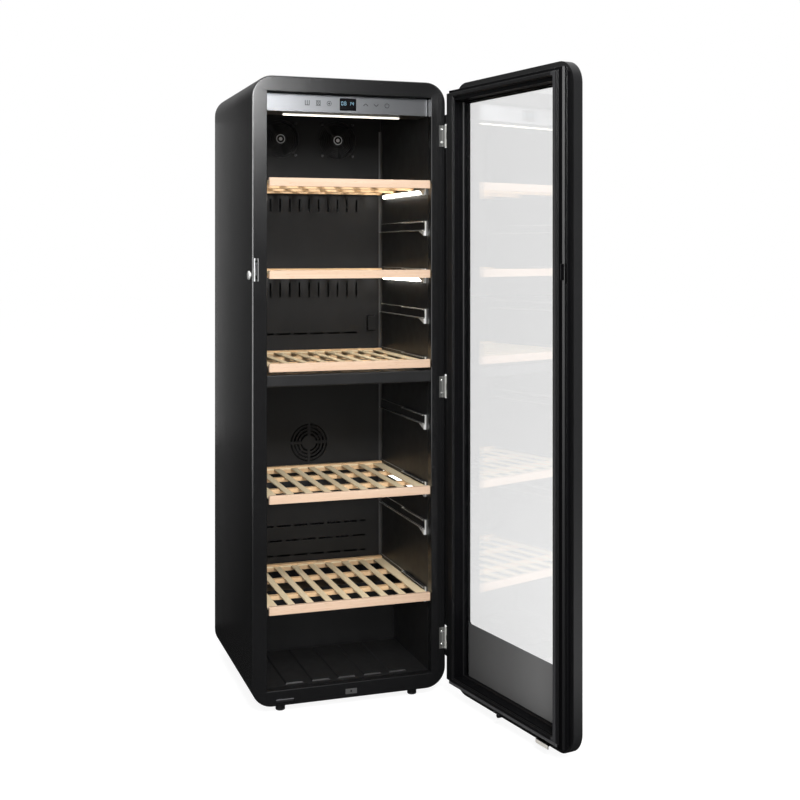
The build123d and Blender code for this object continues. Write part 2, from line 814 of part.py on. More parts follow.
# Double glazing: outer pane, spacer and inner pane
outer_pane_y = skin_in_y - skin_depth + skin_lip + fit_gap
spacer_y = outer_pane_y + pane
inner_pane_y = spacer_y + pane_gap
glass_back_y = inner_pane_y + pane
pane_width = window_width + 2 * pane_margin
pane_height = window_height + 2 * pane_margin
for pane_name, pane_front_y in (("outer_pane", outer_pane_y), ("inner_pane", inner_pane_y)):
    with BuildPart() as glass_pane:
        with BuildSketch(door_plane(pane_front_y)):
            with Locations((0, door_middle)):
                Rectangle(pane_width, pane_height)
        extrude(amount=-pane)
    write(glass_pane, pane_name)

with BuildPart() as pane_spacer:
    with BuildSketch(door_plane(spacer_y)):
        with Locations((0, door_middle)):
            Rectangle(pane_width, pane_height)
            Rectangle(pane_width - 12, pane_height - 12, mode=Mode.SUBTRACT)
    extrude(amount=-pane_gap)
write(pane_spacer, "pane_spacer")

# Door core: holds the glass in the skin and leaves the grip channel round the edge
with BuildPart() as door_core:
    with BuildSketch(door_plane(glass_back_y + fit_gap)):
        with Locations((0, door_middle)):
            Rectangle(pane_width, pane_height)
            Rectangle(window_width - 2 * glass_lip, window_height - 2 * glass_lip, mode=Mode.SUBTRACT)
    extrude(amount=glass_back_y + fit_gap - skin_in_y)
    lip_face = door_core.faces().sort_by(Axis((0, 0, 0), swing_out))[0]
    chamfer(lip_face.inner_wires()[0].edges(), length=glass_lip_chamfer)
    with BuildSketch(door_plane(skin_in_y)):
        with Locations((0, door_middle)):
            Rectangle(cabinet_width - 2 * core_inset, door_height - 2 * core_inset_z)
            Rectangle(window_width, window_height, mode=Mode.SUBTRACT)
    extrude(amount=skin_in_y - core_y)
write(door_core, "door_core")

# Inner door frame: two uprights that run full height, with a rail between them at each end
window_bottom = door_middle - window_height / 2
window_top = door_middle + window_height / 2
lock_edge = inner_frame_lock_inset - half_width
hinge_edge = half_width - inner_frame_hinge_inset
bar_depth = inner_frame_y - core_y
lock_upright = [
    (-window_width / 2, core_y),
    (-window_width / 2, inner_frame_y),
    (lock_edge + inner_frame_chamfer, inner_frame_y),
    (lock_edge, inner_frame_y - inner_frame_chamfer),
    (lock_edge, core_y + 9),
    (lock_edge + inner_frame_groove, core_y + 9),
    (lock_edge + inner_frame_groove, core_y + 4),
    (lock_edge, core_y + 4),
    (lock_edge, core_y),
]
hinge_upright = [
    (window_width / 2, core_y),
    (window_width / 2, inner_frame_y),
    (hinge_edge, inner_frame_y),
    (hinge_edge, core_y),
]
with BuildPart() as door_inner_frame:
    for profile in (lock_upright, hinge_upright):
        with BuildSketch(door_level(inner_frame_bottom)):
            with BuildLine():
                Polyline(*[door_point(x, y) for x, y in profile], close=True)
            make_face()
        extrude(amount=inner_frame_top - inner_frame_bottom)
    for rail_low, rail_high in ((inner_frame_bottom, window_bottom), (window_top, inner_frame_top)):
        with BuildSketch(door_plane(core_y)):
            with Locations((0, (rail_low + rail_high) / 2)):
                Rectangle(window_width - 2 * fit_gap, rail_high - rail_low)
        extrude(amount=-bar_depth)
    # Slot that the lock's hook swings into, and the pocket where its nose drops behind the lip
    with BuildSketch(door_plane(core_y)):
        with Locations((lock_x, lock_z + 10)):
            Rectangle(lock_body_width - 1, 52)
    extrude(amount=3 - bar_depth, mode=Mode.SUBTRACT)
    with BuildSketch(door_plane(inner_frame_y)):
        with Locations((lock_x, lock_z + 15)):
            Rectangle(lock_body_width - 1, 42)
    extrude(amount=4, mode=Mode.SUBTRACT)
write(door_inner_frame, "door_inner_frame")

# Magnetic gasket: a soft ring on the inner frame, with a flap along the hinge side
with BuildPart() as door_gasket:
    gasket_out = cabinet_width - 2 * gasket_inset
    gasket_out_z = gasket_top - gasket_bottom
    gasket_middle = (gasket_top + gasket_bottom) / 2
    with BuildSketch(door_plane(inner_frame_y + fit_gap)):
        with Locations((0, gasket_middle)):
            Rectangle(gasket_out, gasket_out_z)
            Rectangle(gasket_out - 2 * gasket_width, gasket_out_z - 2 * gasket_width_z, mode=Mode.SUBTRACT)
    extrude(amount=inner_frame_y + fit_gap - gasket_y + 3.5)
    with BuildSketch(door_plane(gasket_y - 3.5)):
        with Locations((0, gasket_middle)):
            Rectangle(gasket_out - 7, gasket_out_z - 5)
            Rectangle(gasket_out - 2 * gasket_width + 2, gasket_out_z - 2 * gasket_width_z + 5, mode=Mode.SUBTRACT)
    extrude(amount=-3.5)
    flap_in = half_width - gasket_inset - 1
    with BuildSketch(door_plane(inner_frame_y + fit_gap)):
        with Locations(((flap_in + gasket_flap_x) / 2, gasket_middle)):
            Rectangle(gasket_flap_x - flap_in, gasket_out_z)
    extrude(amount=-gasket_flap)
write(door_gasket, "door_gasket")

with BuildPart() as hinge_door_leaves:
    for level in hinge_levels:
        plate_in = hinge_edge - hinge_x
        with BuildSketch(door_level(level - hinge_height / 2)):
            with Locations((plate_in + leaf / 2, -2.2)):
                Rectangle(leaf, 13)
        extrude(amount=hinge_height)
        with BuildSketch(door_level(level - knuckle_half)):
            Circle(knuckle_radius)
            with Locations(((plate_in + leaf) / 2, leaf / 2 - knuckle_radius)):
                Rectangle(-plate_in - leaf, leaf)
            Circle(pin_radius + shaft_gap, mode=Mode.SUBTRACT)
        extrude(amount=2 * knuckle_half)
write(hinge_door_leaves, "hinge_door_leaves")

# Catch stud and rest bracket along the bottom of the door
stud_x = 12
stud_z = base + 12
with BuildPart() as catch_stud:
    with BuildSketch(door_plane(skin_in_y)):
        with Locations((stud_x, stud_z)):
            Circle(6.5)
    extrude(amount=skin_in_y + 4)
    with BuildSketch(door_plane(-4)):
        with Locations((stud_x, stud_z)):
            Circle(5)
    extrude(amount=-1.5)
write(catch_stud, "catch_stud")

bracket_width = 57
bracket_sheet = 2.5
with BuildPart() as rest_bracket:
    with BuildSketch(door_plane(skin_in_y)):
        with Locations((rest_x, base + 13)):
            Rectangle(bracket_width, 17)
    extrude(amount=-bracket_sheet)
    with BuildSketch(door_plane(skin_in_y)):
        with Locations((rest_x, base + 11)):
            Rectangle(bracket_width, bracket_sheet)
    extrude(amount=skin_in_y + 4)
    with BuildSketch(door_plane(-4 - bracket_sheet)):
        with Locations((rest_x, base + 7)):
            Rectangle(bracket_width, 10.5)
    extrude(amount=-bracket_sheet)
write(rest_bracket, "rest_bracket")

# Shelves: a beech front board, and a deck of slats on two cross boards and a back board
side_slat_x = shelf_half_width - side_slat_width / 2
deck_front_y = shelf_front_y + front_board_depth + glue
slat_back_y = shelf_back_y - back_board - glue
for number, shelf_top in enumerate(shelf_tops, start=1):
    with BuildPart() as shelf_front:
        with BuildSketch(front_plane(shelf_front_y)):
            with Locations((0, shelf_top - board_height / 2)):
                Rectangle(2 * shelf_half_width, board_height)
        extrude(amount=-front_board_depth)
        fillet(shelf_front.edges().filter_by(Axis.Z), radius=4)
        fillet(shelf_front.faces().sort_by(Axis.Z)[-1].edges(), radius=1.5)
    write(shelf_front, f"shelf_{number}_front")

    with BuildPart() as shelf_deck:
        slat_top = shelf_top - slat_drop
        slat_bottom = slat_top - slat_height
        board_top = slat_bottom - glue
        board_bottom = shelf_top - rest_height + 0.3
        back_top = shelf_top - back_board_drop
        for cross_y in (145, 325):
            with BuildSketch(front_plane(cross_y)):
                with Locations((0, (board_bottom + board_top) / 2)):
                    Rectangle(2 * shelf_half_width, board_top - board_bottom)
            extrude(amount=-cross_board)
        with BuildSketch(front_plane(shelf_back_y - back_board)):
            with Locations((0, (board_bottom + back_top) / 2)):
                Rectangle(2 * shelf_half_width, back_top - board_bottom)
        extrude(amount=-back_board)
        with BuildSketch(front_plane(deck_front_y)):
            with Locations((0, (slat_bottom + slat_top) / 2)):
                with GridLocations(slat_pitch, 0, slat_count, 1):
                    Rectangle(slat_width, slat_height)
            for side in (-1, 1):
                with Locations((side * side_slat_x, (slat_bottom + slat_top) / 2)):
                    Rectangle(side_slat_width, slat_height)
        extrude(amount=deck_front_y - slat_back_y)
    write(shelf_deck, f"shelf_{number}_deck")
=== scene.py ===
from math import cos, pi, radians, sin

import bmesh
import bpy
from mathutils import Matrix, Vector


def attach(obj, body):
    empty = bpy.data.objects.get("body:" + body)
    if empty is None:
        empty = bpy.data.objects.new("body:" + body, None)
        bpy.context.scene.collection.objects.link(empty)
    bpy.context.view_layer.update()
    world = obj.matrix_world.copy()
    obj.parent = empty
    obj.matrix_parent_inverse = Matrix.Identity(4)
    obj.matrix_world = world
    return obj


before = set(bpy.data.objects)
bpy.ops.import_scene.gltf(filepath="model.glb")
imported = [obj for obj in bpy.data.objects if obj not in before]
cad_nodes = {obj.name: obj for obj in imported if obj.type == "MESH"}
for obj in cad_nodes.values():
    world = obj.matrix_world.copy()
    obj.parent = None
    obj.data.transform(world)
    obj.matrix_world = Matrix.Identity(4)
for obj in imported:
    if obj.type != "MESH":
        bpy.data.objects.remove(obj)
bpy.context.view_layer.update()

scene = bpy.context.scene
scene.view_settings.view_transform = "Standard"

# Shared sizes in metres, as in the solid model. Depths are counted back from the cabinet's front face.
MM = 0.001
FRONT = -296 * MM
BASE = 24 * MM
HINGE = Vector((300 * MM, FRONT - 13.8 * MM, 0))
OPEN_ANGLE = radians(100)
to_open_door = (
    Matrix.Translation(HINGE)
    @ Matrix.Rotation(OPEN_ANGLE, 4, "Z")
    @ Matrix.Translation(-HINGE)
)
SHELVES = range(1, 6)

# Directions: to the front and back, and where faces and broken edges of the open door and the frame look
TO_FRONT = (0, -1, 0)
TO_BACK = (0, 1, 0)
DOOR_INWARD = (-0.985, -0.174, 0.0)
DOOR_FREE_EDGE = (-0.574, -0.819, 0.0)
DOOR_UPPER_EDGE = (-0.70, -0.12, 0.70)
FRAME_LEFT_EDGES = [(-0.5, -0.866, 0.0), (-0.707, -0.707, 0.0)]


# Nodes of materials

def shader_of(look):
    return look.node_tree.nodes["Principled BSDF"]


def principled(name, colour, roughness, metallic=0.0, **sockets):
    """A principled material with its constants on the shader's own sockets."""
    look = bpy.data.materials.new(name)
    look.use_nodes = True
    shader = shader_of(look)
    shader.inputs["Base Color"].default_value = (*colour, 1)
    shader.inputs["Roughness"].default_value = roughness
    shader.inputs["Metallic"].default_value = metallic
    for key, value in sockets.items():
        shader.inputs[key.replace("_", " ")].default_value = value
    return look


def add_node(look, kind, **values):
    """A new node. Each value goes to the input of that name, or else to the node's setting."""
    added = look.node_tree.nodes.new(kind)
    for key, value in values.items():
        if key in added.inputs:
            added.inputs[key].default_value = value
        else:
            setattr(added, key, value)
    return added


def link(look, source, out, target, into):
    look.node_tree.links.new(source.outputs[out], target.inputs[into])


def combine(look, operation, first, first_out, second, second_out):
    """What a math operation makes of two values."""
    result = add_node(look, "ShaderNodeMath", operation=operation)
    link(look, first, first_out, result, 0)
    link(look, second, second_out, result, 1)
    return result


def noise(look, scale, detail, stretch=(1, 1, 1)):
    """Noise in object space, in features per metre, stretched along the axes."""
    where = add_node(look, "ShaderNodeTexCoord")
    mapping = add_node(look, "ShaderNodeMapping", Scale=stretch)
    pattern = add_node(look, "ShaderNodeTexNoise", Scale=scale, Detail=detail)
    link(look, where, "Object", mapping, "Vector")
    link(look, mapping, "Vector", pattern, "Vector")
    return pattern


def box_share(look):
    """Where a point is in its object's own box, from 0 to 1 along each axis."""
    where = add_node(look, "ShaderNodeTexCoord")
    shares = add_node(look, "ShaderNodeSeparateXYZ")
    link(look, where, "Generated", shares, "Vector")
    return shares


def turned(look, facing):
    """How far a surface is turned to one direction in the object's own space: 1 when it faces that way."""
    where = add_node(look, "ShaderNodeTexCoord")
    turn = add_node(look, "ShaderNodeVectorMath", operation="DOT_PRODUCT")
    turn.inputs[1].default_value = facing
    link(look, where, "Normal", turn, 0)
    return turn


def all_of(look, tests):
    """1 where every value passes its test, else 0."""
    passed = None
    for source, out, comparison, limit in tests:
        test = add_node(look, "ShaderNodeMath", operation=comparison)
        test.inputs[1].default_value = limit
        link(look, source, out, test, 0)
        if passed:
            passed = combine(look, "MULTIPLY", passed, 0, test, 0)
        else:
            passed = test
    return passed


def greys(*pairs):
    """Stops of a grey ramp, from pairs of place and tone."""
    return [(at, (tone, tone, tone)) for at, tone in pairs]


def ramp(look, source, out, stops, blend="LINEAR"):
    """Colours by a value, from stops of place and colour."""
    tone = add_node(look, "ShaderNodeValToRGB")
    tone.color_ramp.interpolation = blend
    elements = tone.color_ramp.elements
    while len(elements) < len(stops):
        elements.new(0.5)
    for element, (at, colour) in zip(elements, stops):
        element.position = at
        element.color = (*colour, 1)
    link(look, source, out, tone, "Fac")
    return tone


def paint(look, tone):
    """Takes the base colour from a ramp, in place of any painted before."""
    link(look, tone, "Color", shader_of(look), "Base Color")


def shade(look, tone):
    """Multiplies the base colour that is already painted by a ramp."""
    colour = shader_of(look).inputs["Base Color"]
    mix = add_node(look, "ShaderNodeMix", data_type="RGBA", blend_type="MULTIPLY", Factor=1.0)
    first, second = [socket for socket in mix.inputs if socket.type == "RGBA"]
    product = next(socket for socket in mix.outputs if socket.type == "RGBA")
    look.node_tree.links.new(colour.links[0].from_socket, first)
    look.node_tree.links.new(tone.outputs["Color"], second)
    look.node_tree.links.new(product, colour)


def tint(colour, factor):
    return tuple(channel * factor for channel in colour)


def drift(look, low, high, scale, stretch=(1, 1, 1)):
    """Base colour that drifts between two tones over the surface."""
    paint(look, ramp(look, noise(look, scale, 4.0, stretch), "Fac", ((0.3, low), (0.7, high))))


def gloss(look, low, high, scale, stretch=(1, 1, 1)):
    """Roughness that varies between two values over the surface."""
    limits = {"From Min": 0.3, "From Max": 0.7, "To Min": low, "To Max": high}
    spread = add_node(look, "ShaderNodeMapRange", **limits)
    link(look, noise(look, scale, 4.0, stretch), "Fac", spread, "Value")
    link(look, spread, "Result", shader_of(look), "Roughness")


def bump(look, height, strength, distance=0.0003):
    """Fine relief that follows a noise."""
    relief = add_node(look, "ShaderNodeBump", Strength=strength, Distance=distance)
    link(look, height, "Fac", relief, "Height")
    link(look, relief, "Normal", shader_of(look), "Normal")


def polish(look, facings, ior, roughness):
    """A clear coat on the edges that face the given ways."""
    nearest = turned(look, facings[0])
    for facing in facings[1:]:
        nearest = combine(look, "MAXIMUM", nearest, "Value", turned(look, facing), "Value")
    share = add_node(look, "ShaderNodeMapRange", **{"From Min": 0.93, "From Max": 0.99})
    link(look, nearest, "Value", share, "Value")
    shader = shader_of(look)
    shader.inputs["Coat IOR"].default_value = ior
    shader.inputs["Coat Roughness"].default_value = roughness
    link(look, share, "Result", shader, "Coat Weight")


# Kinds of material

def enamel(name, colour, roughness, level):
    """Satin paint: a faint drift of tone and gloss, and a fine orange peel."""
    look = principled(name, colour, roughness, Specular_IOR_Level=level)
    drift(look, tint(colour, 0.94), tint(colour, 1.06), 3)
    gloss(look, roughness - 0.015, roughness + 0.015, 9)
    bump(look, noise(look, 600, 2.0), 0.03)
    return look


def plastic(name, colour, roughness, relief=0.08, level=0.35):
    """Moulded plastic or rubber with a fine spark-eroded grain."""
    look = principled(name, colour, roughness, Specular_IOR_Level=level)
    drift(look, tint(colour, 0.92), tint(colour, 1.08), 8)
    gloss(look, roughness - 0.03, roughness + 0.04, 30)
    bump(look, noise(look, 1200, 2.0), relief)
    return look


def metal(name, colour, roughness, stretch=(1, 1, 1), metallic=1.0):
    """Bare or plated metal, brushed along the axis with the small stretch."""
    look = principled(name, colour, roughness, metallic)
    drift(look, tint(colour, 0.9), colour, 60, stretch)
    gloss(look, roughness - 0.05, roughness + 0.07, 90, stretch)
    bump(look, noise(look, 500, 2.0, stretch), 0.05)
    return look


def beech(name, light, dark, along):
    """Pale beech with its grain along one axis: broad bands, fine lines and short flecks."""
    look = principled(name, light, 0.5, Specular_IOR_Level=0.3)
    bands_stretch = {"X": (1.6, 34, 34), "Y": (34, 1.6, 34)}[along]
    lines_stretch = {"X": (6, 420, 420), "Y": (420, 6, 420)}[along]
    fleck_stretch = {"X": (60, 700, 700), "Y": (700, 60, 700)}[along]
    bands = noise(look, 1.0, 5.0, bands_stretch)
    lines = noise(look, 1.0, 3.0, lines_stretch)
    flecks = noise(look, 1.0, 1.0, fleck_stretch)
    mix = add_node(look, "ShaderNodeMix", data_type="FLOAT", Factor=0.4)
    link(look, bands, "Fac", mix, "A")
    link(look, lines, "Fac", mix, "B")
    middle = tuple((a + b) / 2 for a, b in zip(light, dark))
    paint(look, ramp(look, mix, "Result", ((0.34, dark), (0.5, middle), (0.64, light))))
    shade(look, ramp(look, flecks, "Fac", ((0.66, (1, 1, 1)), (0.74, (0.86, 0.8, 0.74)))))
    bump(look, lines, 0.12)
    gloss(look, 0.42, 0.58, 1.0, bands_stretch)
    return look


def glow(name, colour, strength):
    """A lit diffuser or segment."""
    look = principled(name, colour, 0.4, Emission_Color=(*colour, 1), Emission_Strength=strength)
    drift(look, tint(colour, 0.94), colour, 80)
    bump(look, noise(look, 1200, 2.0), 0.04)
    return look


# Paint of the cabinet and the door
CABINET_BLACK = (0.0068, 0.0068, 0.0072)
black = enamel("black_enamel", CABINET_BLACK, roughness=0.24, level=0.4)
polish(black, FRAME_LEFT_EDGES, ior=1.8, roughness=0.15)
shell_black = enamel("shell_enamel", CABINET_BLACK, roughness=0.25, level=0.4)
door_black = enamel("door_enamel", (0.010, 0.010, 0.0105), roughness=0.38, level=0.35)

# Plastic inside the cabinet and behind it
liner = plastic("liner_plastic", (0.0115, 0.0115, 0.012), roughness=0.4, relief=0.06)
panel_plastic = plastic("panel_plastic", (0.015, 0.015, 0.0155), roughness=0.42, relief=0.08)
dark_plastic = plastic("dark_plastic", (0.007, 0.007, 0.0075), roughness=0.45, relief=0.12)
fan_plastic = plastic("fan_plastic", (0.0035, 0.0035, 0.0038), roughness=0.45, relief=0.1, level=0.15)
guard_plastic = plastic("guard_plastic", (0.018, 0.018, 0.0185), roughness=0.3, relief=0.05, level=0.2)
# The grey of the corner trims is a painted highlight along the liner's rounded corners
trim_highlight_grey = plastic("grey_plastic", (0.09, 0.09, 0.092), roughness=0.35, relief=0.08, level=0.08)
catch_grey = plastic("catch_grey", (0.065, 0.065, 0.065), roughness=0.4, relief=0.05)
rubber = plastic("black_rubber", (0.011, 0.011, 0.012), roughness=0.5, relief=0.12)
foam = plastic("foam", (0.75, 0.68, 0.46), roughness=0.9, relief=0.3)
display_black = plastic("display_black", (0.004, 0.004, 0.005), roughness=0.15, relief=0.0)
icon_print = plastic("icon_print", (0.02, 0.02, 0.021), roughness=0.6, relief=0.02, level=0.05)


def upper_panel_plastic():
    """Plastic of the upper air panel, with painted shade that darkens it towards its top."""
    grey = (0.0257, 0.0257, 0.0263)
    look = plastic("upper_panel_plastic", grey, roughness=0.45, relief=0.08, level=0.135)
    stops = greys((0.3, 1.0), (0.42, 0.7), (0.62, 0.7), (0.72, 0.39))
    shade(look, ramp(look, box_share(look), "Z", stops))
    return look


upper_plastic = upper_panel_plastic()

# Plastic and rubber inside the door, and the greys of the painted highlights on the inner frame's foot and
# the gasket's free edge
DOOR_PLASTIC = (0.003, 0.003, 0.0035)
FOOT_HIGHLIGHT_GREY = (0.13, 0.13, 0.134)
RUBBER_DARK = (0.006, 0.006, 0.0066)
RUBBER_HIGHLIGHT_GREY = (0.042, 0.042, 0.045)


def door_plastic(name):
    """Nearly black plastic with a soft shine on the broken edges."""
    look = plastic(name, DOOR_PLASTIC, roughness=0.42, relief=0.04, level=0.05)
    polish(look, [DOOR_FREE_EDGE, DOOR_UPPER_EDGE], ior=1.3, roughness=0.4)
    return look


def frame_plastic():
    """Plastic of the inner frame, with a painted highlight: a paler foot on the face that looks inwards."""
    look = door_plastic("frame_plastic")
    place = box_share(look)
    foot = all_of(look, (
        (place, "Z", "LESS_THAN", 0.006),
        (place, "Y", "GREATER_THAN", 0.045),
        (turned(look, DOOR_INWARD), "Value", "GREATER_THAN", 0.9),
    ))
    paint(look, ramp(look, foot, 0, ((0.0, DOOR_PLASTIC), (1.0, FOOT_HIGHLIGHT_GREY))))
    return look


def gasket_rubber():
    """Rubber of the door's gasket, with a painted highlight: paler along its run at the free edge."""
    look = plastic("gasket_rubber", RUBBER_DARK, roughness=0.42, relief=0.05, level=0.2)
    stops = ((0.0, RUBBER_DARK), (0.011, RUBBER_HIGHLIGHT_GREY), (0.05, RUBBER_DARK))
    paint(look, ramp(look, box_share(look), "Y", stops, "CONSTANT"))
    return look


door_inside = door_plastic("door_plastic")
frame_inside = frame_plastic()
gasket = gasket_rubber()

# Metal
fascia_metal = metal("brushed_fascia", (0.128, 0.131, 0.137), roughness=0.335, stretch=(2, 120, 120))
fin_metal = metal("fin_aluminium", (0.68, 0.69, 0.7), roughness=0.35, stretch=(80, 80, 4))
zinc = metal("bright_zinc", (0.72, 0.72, 0.71), roughness=0.26)
nickel = metal("satin_nickel", (0.85, 0.85, 0.83), roughness=0.32, metallic=0.4)
dull_steel_and_shade = metal("dull_steel_and_shade", (0.10, 0.10, 0.105), roughness=0.4)


def hinge_leaf_metal():
    """Satin coated metal of the cabinet's hinge leaves, with painted light and shade across them: a bright
    highlight at the knuckle, a paler strip near the middle, and dark elsewhere.
    """
    look = plastic("hinge_metal", (0.3, 0.3, 0.29), roughness=0.3, relief=0.03, level=0.5)
    painted_light_tones = ((0.0, 0.07), (0.25, 0.09), (0.4, 0.18), (0.5, 0.09), (0.62, 0.09), (0.66, 0.75), (0.8, 0.75))
    stops = [(at, (tone, tone, 0.95 * tone)) for at, tone in painted_light_tones]
    paint(look, ramp(look, box_share(look), "X", stops))
    return look


def lock_case_metal():
    """Coated metal of the lock's case: a faceplate with painted light across it, a bright highlight on its
    left strip, painted shade down the middle where the slot is, and grey on its right strip; and a dark
    body behind it.
    """
    look = plastic("lock_metal", (0.62, 0.62, 0.61), roughness=0.3, relief=0.03, level=0.5)
    place = box_share(look)
    paint(look, ramp(look, place, "X", greys((0.0, 0.62), (0.27, 0.004), (0.73, 0.16)), "CONSTANT"))
    shade(look, ramp(look, place, "Y", greys((0.0, 1.0), (0.06, 0.004)), "CONSTANT"))
    return look


def bracket_lip_metal():
    """Coated metal of the rest bracket, with painted light: bright on the faces that look inwards and dark
    elsewhere.
    """
    bright = (0.75, 0.72, 0.66)
    dark = (0.004, 0.004, 0.004)
    look = plastic("bracket_metal", bright, roughness=0.35, relief=0.03, level=0.4)
    paint(look, ramp(look, turned(look, DOOR_INWARD), "Value", ((0.0, dark), (0.9, bright)), "CONSTANT"))
    return look


hinge_metal = hinge_leaf_metal()
lock_metal = lock_case_metal()
bracket_metal = bracket_lip_metal()


# Wood of the shelves

def deck_beech(name, slat_light, slat_dark, board_tint):
    """Beech deck: pale slats, and warmer boards below and behind them."""
    look = beech(name, slat_light, slat_dark, "Y")
    stops = ((0.0, board_tint), (0.57, (1, 1, 1)), (0.756, board_tint))
    shade(look, ramp(look, box_share(look), "Z", stops, "CONSTANT"))
    return look


front_wood = beech("beech_front", light=(0.63, 0.465, 0.34), dark=(0.555, 0.38, 0.265), along="X")
deck_wood = deck_beech(
    "beech_deck",
    slat_light=(1.0, 0.85, 0.585),
    slat_dark=(0.94, 0.75, 0.475),
    board_tint=(0.80, 0.65, 0.55),
)

# Lamps and display
ceiling_glow = glow("ceiling_glow", (1.0, 0.95, 0.84), strength=1.8)
digit_glow = glow("digit_glow", (0.10, 0.22, 0.30), strength=0.25)


def side_lamp_glow():
    """Light bars that are brighter towards their top."""
    look = glow("side_glow", (1.0, 0.96, 0.88), 0.0)
    fade = add_node(look, "ShaderNodeMapRange", **{"To Min": 2.5, "To Max": 20.0})
    link(look, box_share(look), "Z", fade, "Value")
    link(look, fade, "Result", shader_of(look), "Emission Strength")
    return look


side_glow = side_lamp_glow()


# Glass, and the print on it

def clear_glass():
    """Float glass, with a ripple too faint to see except in its reflections."""
    look = principled("door_glass", (1.0, 1.0, 1.0), 0.0, Transmission_Weight=1.0, IOR=1.55)
    bump(look, noise(look, 5, 2.0), 0.01, 0.0002)
    return look


def band_print():
    """Grey print, with a painted reflection that makes it paler towards the door's free edge."""
    look = plastic("glass_print", (0.2, 0.2, 0.202), roughness=0.5, relief=0.03, level=0.2)
    paint(look, ramp(look, box_share(look), "Y", greys((0.0, 0.25), (0.5, 0.135), (1.0, 0.075))))
    return look


glass = clear_glass()
glass_print = band_print()

looks = {
    black: "front_frame rear_panel base_plate compressor",
    shell_black: "outer_shell",
    door_black: "door_skin",
    door_inside: "door_core pane_spacer",
    frame_inside: "door_inner_frame",
    liner: "inner_liner zone_divider wall_rails control_housing sensor_cover",
    upper_plastic: "upper_air_panel",
    panel_plastic: "lower_air_panel",
    dark_plastic: "rear_cover drip_tray hinge_strips",
    fan_plastic: "fan_housings upper_left_fan_rotor upper_right_fan_rotor lower_fan_rotor",
    guard_plastic: "upper_fan_guards",
    trim_highlight_grey: "corner_trims",
    rubber: "cord_gland compressor_mounts feet",
    gasket: "door_gasket",
    fin_metal: "condenser",
    fascia_metal: "control_fascia",
    zinc: "hinge_pins",
    nickel: "lock_knob rail_brackets",
    hinge_metal: "hinge_cabinet_leaves",
    bracket_metal: "rest_bracket",
    lock_metal: "lock_case",
    # The evaporators take the dark steel as painted shade: their fins in the duct are darkened in colour
    dull_steel_and_shade: "lock_hook evaporators catch_stud rest_ramp hinge_door_leaves",
    catch_grey: "catch_plate",
    foam: "insulation_foam",
    ceiling_glow: "ceiling_lamp",
    side_glow: "side_lamps",
    glass: "outer_pane inner_pane",
    display_black: "display_window",
    front_wood: " ".join(f"shelf_{k}_front" for k in SHELVES),
    deck_wood: " ".join(f"shelf_{k}_deck" for k in SHELVES),
}
for look, names in looks.items():
    for name in names.split():
        cad_nodes[name].data.materials.clear()
        cad_nodes[name].data.materials.append(look)


# Broken edges on sawn boards and pressed sheet, which catch the light

def soften(name, width, edge_look=None):
    """Bevels a node's sharp edges, in a look of their own where one is given."""
    weld = cad_nodes[name].modifiers.new("weld", "WELD")
    weld.merge_threshold = 1e-5
    bevel = cad_nodes[name].modifiers.new("edges", "BEVEL")
    bevel.width = width
    bevel.segments = 2
    bevel.limit_method = "ANGLE"
    bevel.angle_limit = radians(40)
    bevel.harden_normals = True
    if edge_look:
        cad_nodes[name].data.materials.append(edge_look)
        bevel.material = 1


for k in SHELVES:
    soften(f"shelf_{k}_deck", 0.8 * MM)
# The wall rails' bevelled edges take the bright nickel, as bare metal edges brightened into painted
# highlight lines
soften("wall_rails", 0.7 * MM, nickel)
soften("rail_brackets", 0.4 * MM)
soften("door_inner_frame", 1.2 * MM)
soften("door_gasket", 1.0 * MM)
soften("catch_plate", 0.4 * MM)
soften("rest_bracket", 0.4 * MM)


# Small pieces, each one mesh

def piece(name, shape, look, body, door=False):
    """Makes a finished shape a piece that rides on a body. Door pieces are drawn on the closed door."""
    if door:
        bmesh.ops.transform(shape, matrix=to_open_door, verts=shape.verts)
    bmesh.ops.recalc_face_normals(shape, faces=shape.faces)
    mesh = bpy.data.meshes.new(name)
    shape.to_mesh(mesh)
    shape.free()
    mesh.materials.append(look)
    obj = bpy.data.objects.new(name, mesh)
    scene.collection.objects.link(obj)
    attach(obj, body)


def plate(shape, outline, y_front, y_back):
    """A flat plate from an outline of X and Z, standing between two depths."""
    near, far = [
        [shape.verts.new((x, FRONT + y, z)) for x, z in outline]
        for y in (y_front, y_back)
    ]
    shape.faces.new(near)
    shape.faces.new(far[::-1])
    for i in range(len(outline)):
        j = (i + 1) % len(outline)
        shape.faces.new((near[i], far[i], far[j], near[j]))


def bar(shape, x, z, width, height, y_front, y_back):
    """A rectangular plate round its middle."""
    w = width / 2
    h = height / 2
    plate(shape, [(x - w, z - h), (x + w, z - h), (x + w, z + h), (x - w, z + h)], y_front, y_back)


def ring_plate(shape, x, z, outer, inner, y_front, y_back, start=0.0, turn=2 * pi, steps=20):
    """A flat ring, or part of one, standing between two depths."""
    whole = turn == 2 * pi
    section = ((inner, y_front), (outer, y_front), (outer, y_back), (inner, y_back))
    sections = []
    for i in range(steps if whole else steps + 1):
        angle = start + turn * i / steps
        points = [(x + r * cos(angle), FRONT + y, z + r * sin(angle)) for r, y in section]
        sections.append([shape.verts.new(point) for point in points])
    if whole:
        sections.append(sections[0])
    else:
        shape.faces.new(sections[0])
        shape.faces.new(sections[-1][::-1])
    for near, far in zip(sections, sections[1:]):
        for i in range(len(section)):
            j = (i + 1) % len(section)
            shape.faces.new((near[i], far[i], far[j], near[j]))


# Screws: a domed head with a cross recess, on the face that a normal points away from

HEAD_HEIGHT = 0.45
HEAD_PROFILE = [(1.0, 0.0), (1.0, 0.25), (0.92, 0.6), (0.74, 0.88), (0.6, 1.0)]
HEAD_STEPS = 24
CROSS_ARM = 0.5
CROSS_HALF = 0.12
CROSS_FLOOR = 0.35


